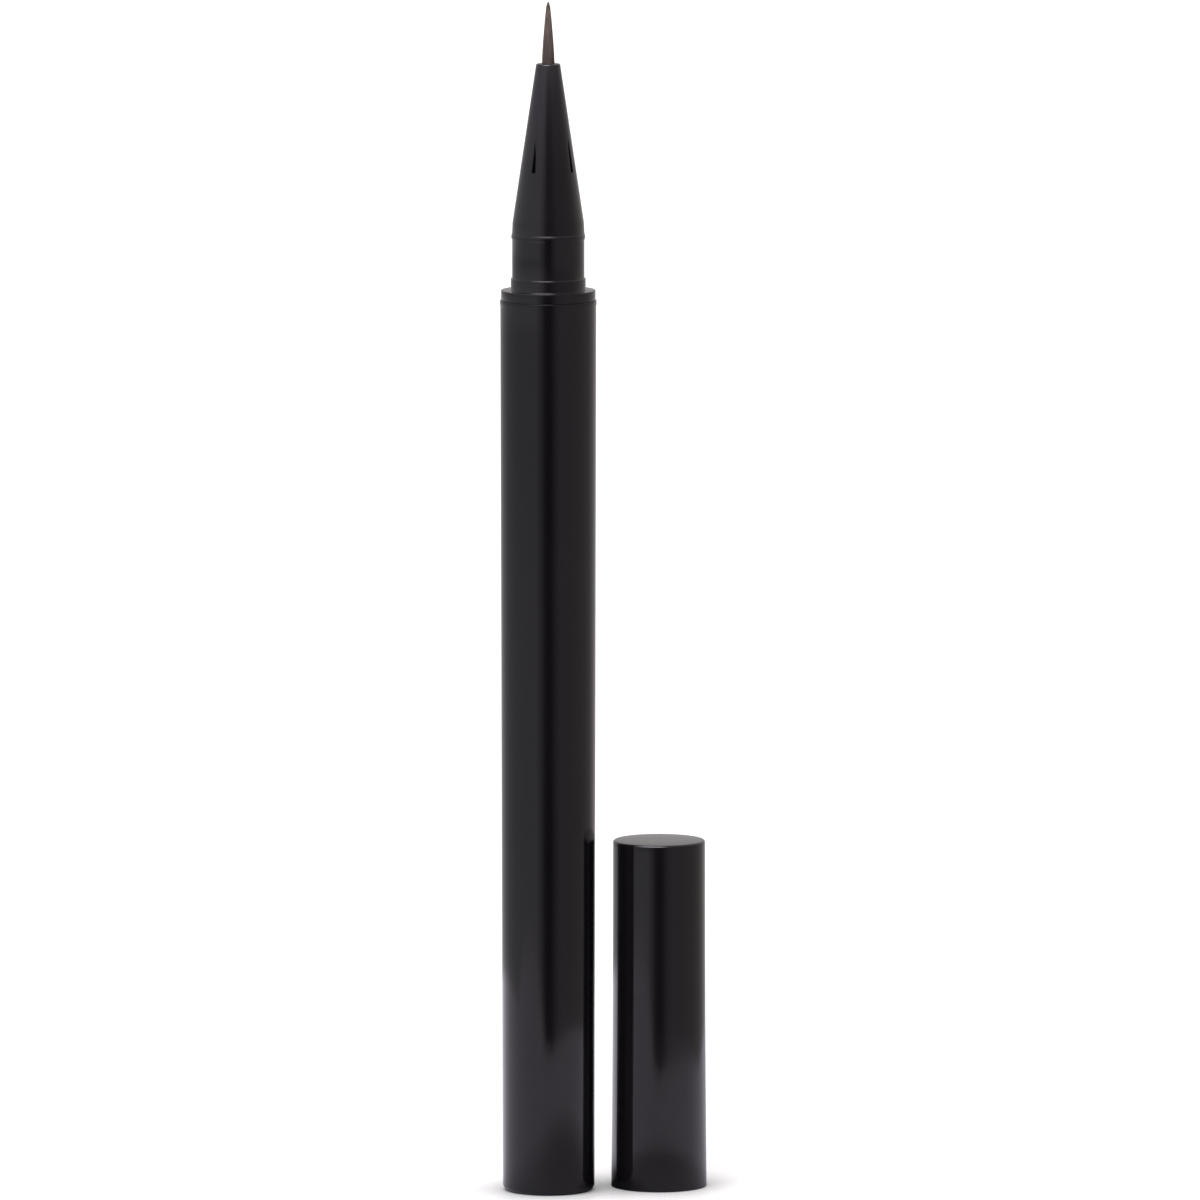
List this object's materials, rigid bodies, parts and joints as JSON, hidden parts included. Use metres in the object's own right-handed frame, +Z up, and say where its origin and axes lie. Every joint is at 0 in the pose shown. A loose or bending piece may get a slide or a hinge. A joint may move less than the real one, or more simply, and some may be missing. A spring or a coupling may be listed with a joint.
{
  "type": "liquid eyeliner pen",
  "caption": "Slim gloss black liquid eyeliner pen standing on its tail, with a tapered slotted nose and a fine brush tip, and its sprung-sealed cap standing mouth down beside it.",
  "frame": {"origin": "centre of the pen's flat tail face, on the surface that the pen and its cap stand on", "axes": "+Z up along the pen's axis, towards the brush; +X to the viewer's right, roughly towards the cap; the viewer looks along +Y"},
  "size_m": [0.0219, 0.0129, 0.1264],
  "materials": {
    "gloss_black": "gloss black moulded plastic",
    "natural_plastic": "natural, slightly cloudy plastic",
    "collector_white": "plain white moulded plastic",
    "gasket_grey": "soft grey elastomer",
    "brush_fibre": "fine tapered synthetic fibres, dark with ink",
    "inked_rod": "bonded fibre rod, soaked with ink",
    "polished_steel": "polished ball",
    "spring_steel": "drawn stainless wire"
  },
  "bodies": {
    "pen": {"barrel": "gloss_black", "nose_cone": "gloss_black", "brush_tip": "brush_fibre", "brush_holder": "natural_plastic", "collector": "collector_white", "feed_rod": "inked_rod", "ink_tank": "natural_plastic", "tank_gasket": "gasket_grey"},
    "ball": {"mixing_ball": "polished_steel"},
    "cap": {"cap_shell": "gloss_black", "cap_spring": "spring_steel"},
    "sealing_cup": {"inner_cap": "natural_plastic"}
  },
  "joints": [
    {"name": "cap_lift", "type": "slide", "parent": "pen", "child": "cap", "axis": [0, 0, 1], "range_m": [0, 0.135]},
    {"name": "inner_cap_press", "type": "slide", "parent": "cap", "child": "sealing_cup", "axis": [0, 0, 1], "range_m": [0, 0.0015], "stiffness_N_per_m": 500, "springref_m": -0.0005, "deforming": ["cap_spring"]},
    {"name": "ball_travel", "type": "slide", "parent": "pen", "child": "ball", "axis": [0, 0, 1], "range_m": [0, 0.0525]}
  ]
}
